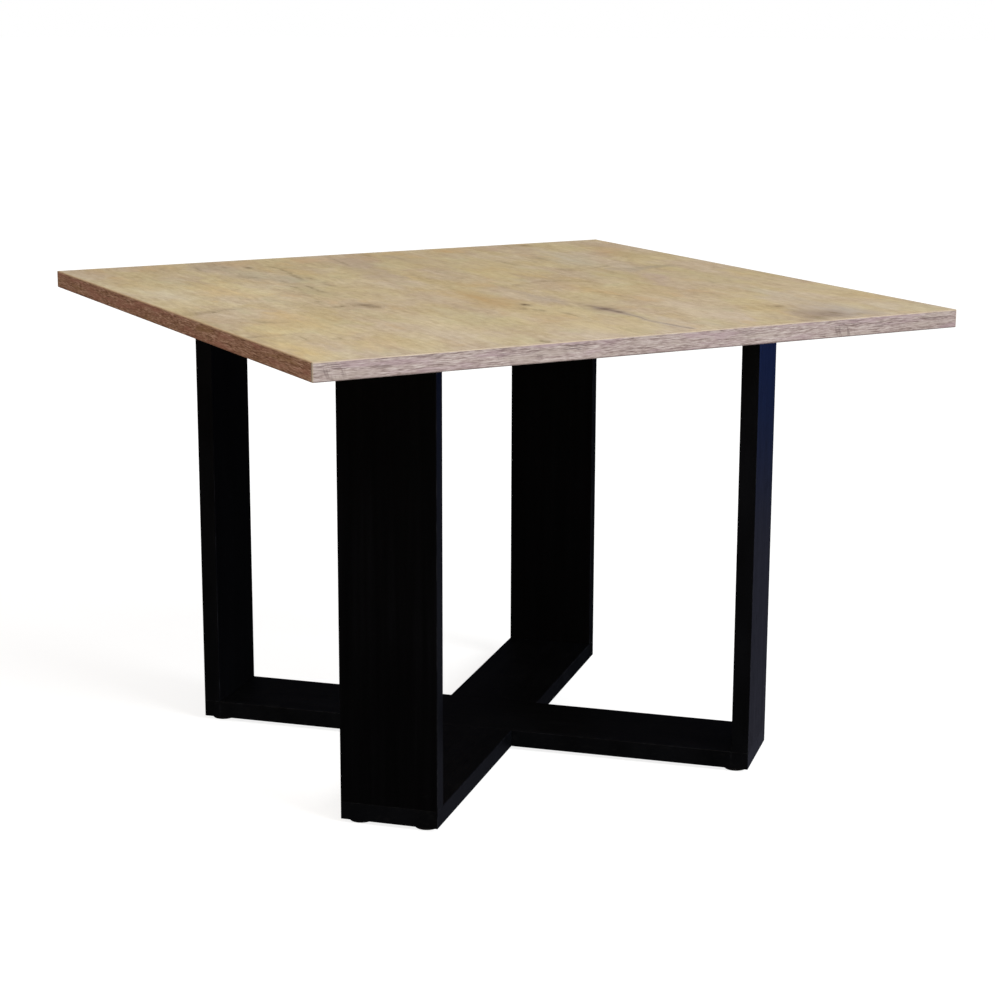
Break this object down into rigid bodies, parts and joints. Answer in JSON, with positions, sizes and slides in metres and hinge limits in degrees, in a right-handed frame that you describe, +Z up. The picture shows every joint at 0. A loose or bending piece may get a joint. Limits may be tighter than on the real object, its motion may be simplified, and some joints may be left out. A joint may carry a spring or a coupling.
{
  "type": "low bistro table",
  "caption": "Low square table: a flat panel top with edge bands on a black base of crossed board frames, standing on small round glides.",
  "frame": {"origin": "on the floor plane, under the centre of the square top; the flat undersides of the glides lie at Z = 0", "axes": "+Z up, square to the top; the sides of the top are parallel to X and Y; -Y is the front and +X the right; the crossed frames of the base run along the diagonals of X and Y"},
  "size_m": [0.7, 0.7, 0.49],
  "materials": {
    "oak_laminate": "matt textured laminate with a knotty oak decor",
    "oak_edge_band": "matt plastic edge band with a fine lengthwise oak print",
    "black_laminate": "satin black laminate on chipboard",
    "black_edge_band": "satin black plastic edge band",
    "zinc_steel": "bright zinc plate",
    "black_nylon": "moulded black nylon"
  },
  "bodies": {
    "root": {"tabletop_panel": "oak_laminate", "top_edge_front": "oak_edge_band", "top_edge_right": "oak_edge_band", "top_edge_back": "oak_edge_band", "top_edge_left": "oak_edge_band", "upright_front_left": "black_laminate", "upright_front_left_edge_left": "black_edge_band", "upright_front_left_edge_right": "black_edge_band", "upright_front_right": "black_laminate", "upright_front_right_edge_left": "black_edge_band", "upright_front_right_edge_right": "black_edge_band", "upright_back_right": "black_laminate", "upright_back_right_edge_left": "black_edge_band", "upright_back_right_edge_right": "black_edge_band", "upright_back_left": "black_laminate", "upright_back_left_edge_left": "black_edge_band", "upright_back_left_edge_right": "black_edge_band", "floor_rail_a": "black_laminate", "floor_rail_a_edge_left": "black_edge_band", "floor_rail_a_edge_right": "black_edge_band", "floor_rail_a_end_front": "black_edge_band", "floor_rail_a_end_back": "black_edge_band", "floor_rail_b": "black_laminate", "floor_rail_b_edge_left": "black_edge_band", "floor_rail_b_edge_right": "black_edge_band", "floor_rail_b_end_front": "black_edge_band", "floor_rail_b_end_back": "black_edge_band", "upper_rail_a": "black_laminate", "upper_rail_a_edge_left": "black_edge_band", "upper_rail_a_edge_right": "black_edge_band", "upper_rail_a_end_front": "black_edge_band", "upper_rail_a_end_back": "black_edge_band", "upper_rail_b": "black_laminate", "upper_rail_b_edge_left": "black_edge_band", "upper_rail_b_edge_right": "black_edge_band", "upper_rail_b_end_front": "black_edge_band", "upper_rail_b_end_back": "black_edge_band", "floor_confirmat_screws": "zinc_steel", "upper_confirmat_screws": "zinc_steel", "top_fixing_screws": "zinc_steel", "glides": "black_nylon", "glide_nails": "zinc_steel"}
  },
  "joints": []
}
